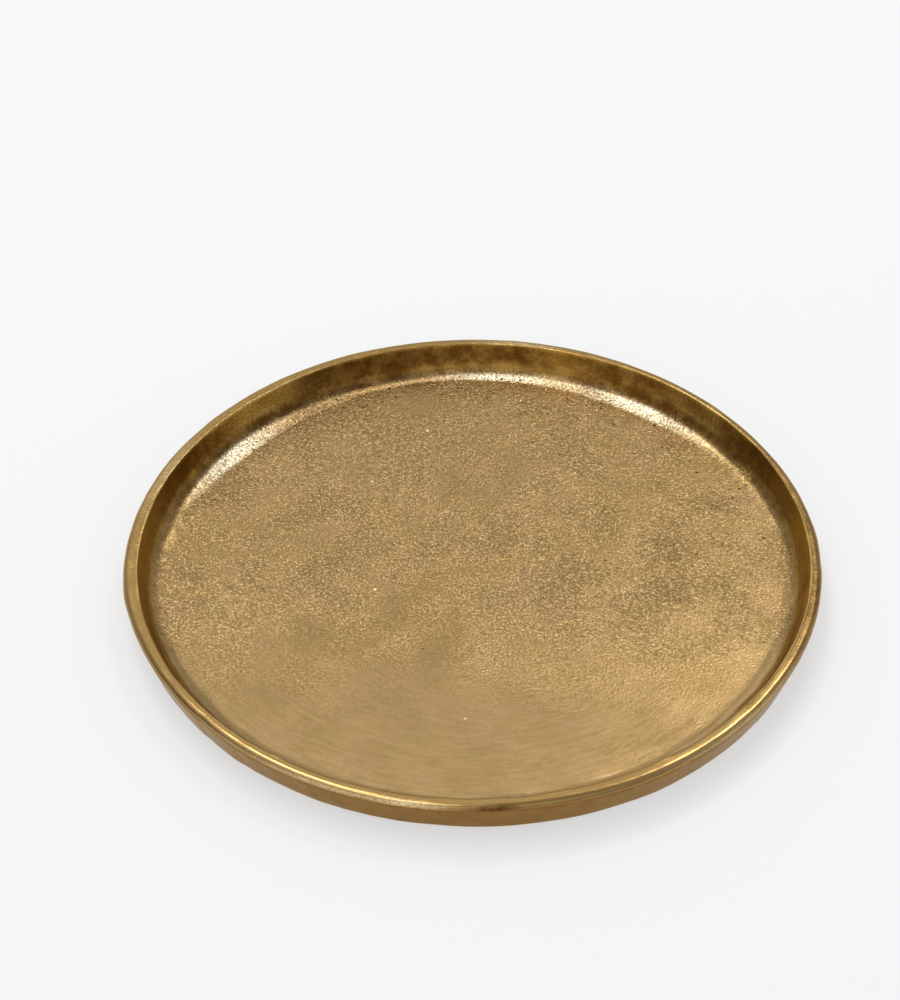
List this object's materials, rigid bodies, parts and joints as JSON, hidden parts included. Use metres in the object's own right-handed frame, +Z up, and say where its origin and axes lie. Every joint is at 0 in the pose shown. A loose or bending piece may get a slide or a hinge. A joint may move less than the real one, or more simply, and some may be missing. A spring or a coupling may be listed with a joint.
{
  "type": "candle plate",
  "caption": "Round shallow cast-metal plate with a raised rounded rim, for standing a pillar candle on, resting on thin felt feet.",
  "frame": {"origin": "on the surface the plate stands on, straight under the plate's centre", "axes": "+Z up along the plate's axis; the plate is round, so +X and +Y are free; the feet lie on the diagonals between them"},
  "size_m": [0.3, 0.3, 0.0192],
  "materials": {
    "gold_casting": "sand-cast, antique gold plated, satin with a fine cast grain, clear lacquer",
    "felt": "pressed wool felt, matte",
    "adhesive_film": "translucent acrylic adhesive film"
  },
  "bodies": {
    "root": {"cast_plate": "gold_casting", "felt_pad_1": "felt", "felt_pad_2": "felt", "felt_pad_3": "felt", "felt_pad_4": "felt", "adhesive_disc_1": "adhesive_film", "adhesive_disc_2": "adhesive_film", "adhesive_disc_3": "adhesive_film", "adhesive_disc_4": "adhesive_film"}
  },
  "joints": []
}
